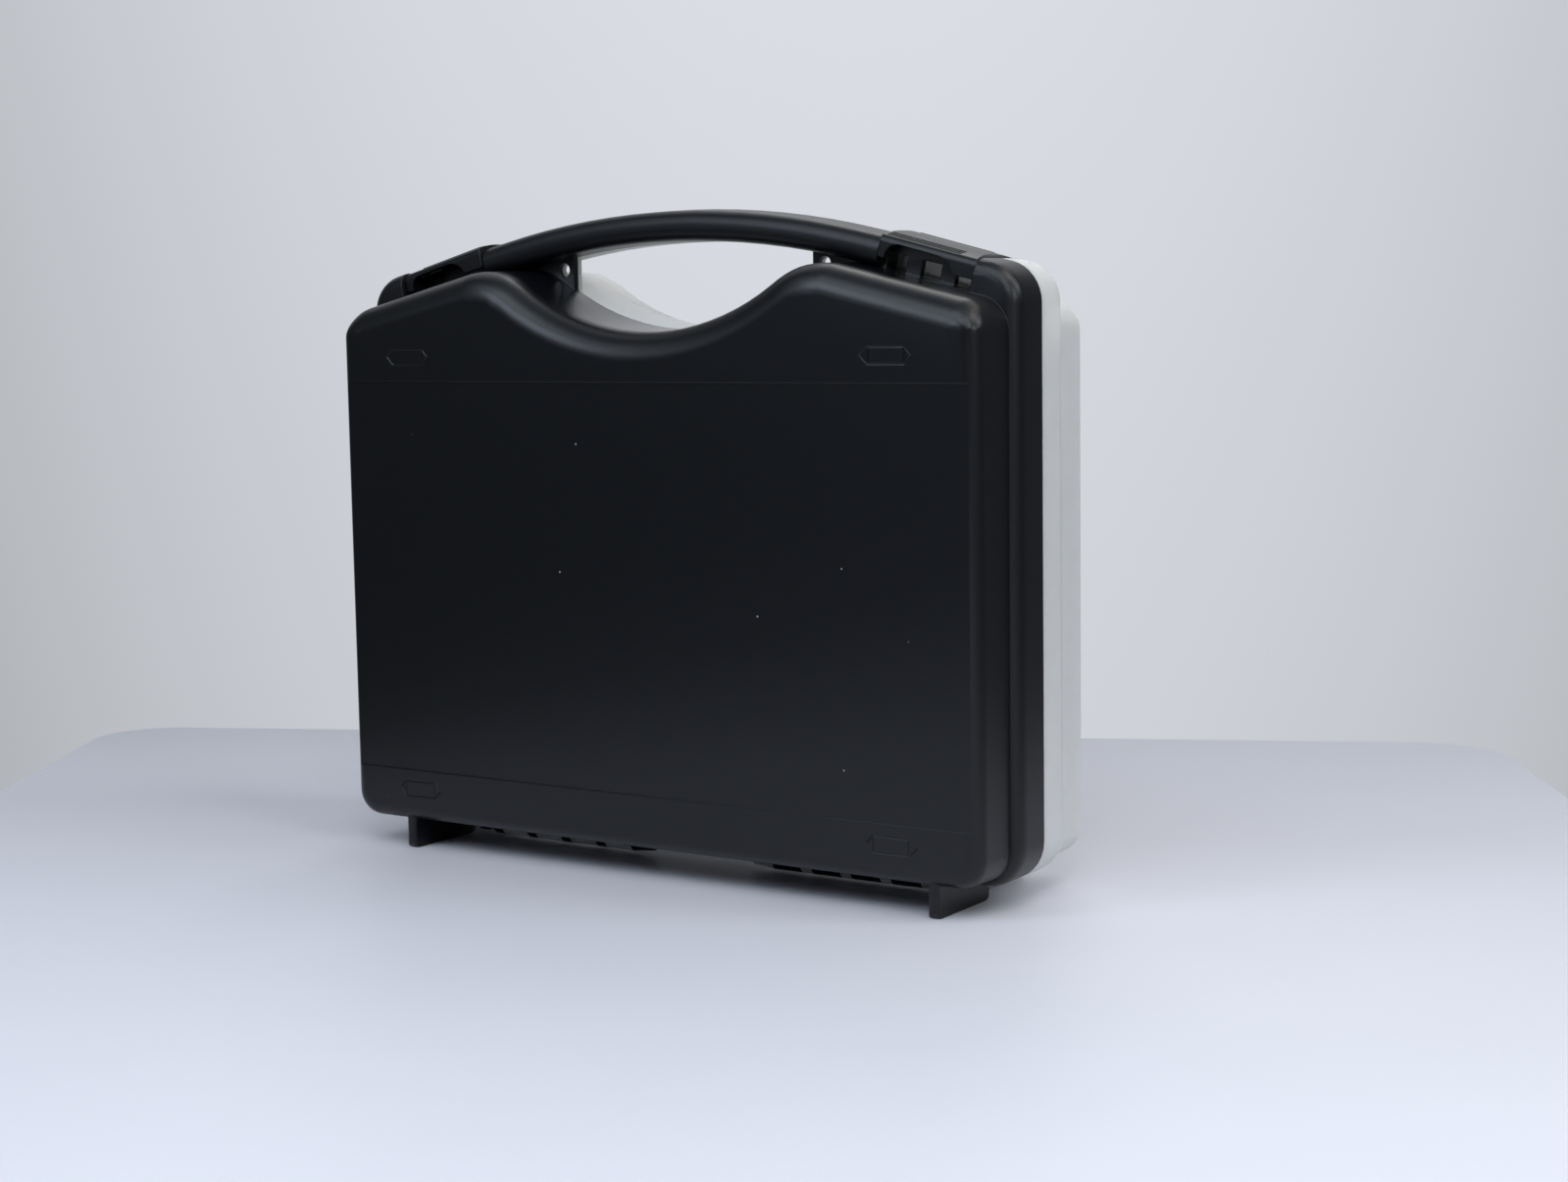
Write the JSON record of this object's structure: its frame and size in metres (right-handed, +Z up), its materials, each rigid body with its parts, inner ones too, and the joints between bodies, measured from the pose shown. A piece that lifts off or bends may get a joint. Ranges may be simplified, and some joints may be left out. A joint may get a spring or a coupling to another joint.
{
  "type": "tool case",
  "caption": "Moulded hard case of equal half shells that open on bottom hinges, with an arched carrying handle and snap latches at the shoulders.",
  "frame": {"origin": "on the ground under the feet, midway along the case, on the plane where the halves meet", "axes": "+X along the case to the viewer's right, +Y from the black half to the pale half, +Z up to the handle"},
  "size_m": [0.275, 0.0752, 0.232],
  "materials": {
    "black_moulding": "fine-grained black polypropylene",
    "natural_moulding": "milky natural polypropylene",
    "latch_plastic": "satin black polypropylene",
    "pin_steel": "drawn steel wire"
  },
  "bodies": {
    "front_half": {"front_shell": "black_moulding", "left_hinge_pin": "pin_steel"},
    "rear_half": {"rear_shell": "natural_moulding", "right_hinge_pin": "pin_steel"},
    "left_clasp": {"left_latch": "latch_plastic"},
    "right_clasp": {"right_latch": "latch_plastic"}
  },
  "joints": [
    {"name": "case_hinge", "type": "hinge", "parent": "front_half", "child": "rear_half", "pos_m": [0, 0, 0.0037], "axis": [-1, 0, 0], "range_deg": [0, 180]},
    {"name": "left_latch_hinge", "type": "hinge", "parent": "front_half", "child": "left_clasp", "pos_m": [-0.10288, -0.01, 0.211], "axis": [0.9736, 0, 0.2284], "range_deg": [0, 95]},
    {"name": "right_latch_hinge", "type": "hinge", "parent": "rear_half", "child": "right_clasp", "pos_m": [0.10288, 0.01, 0.211], "axis": [-0.9736, 0, 0.2284], "range_deg": [0, 95]}
  ]
}
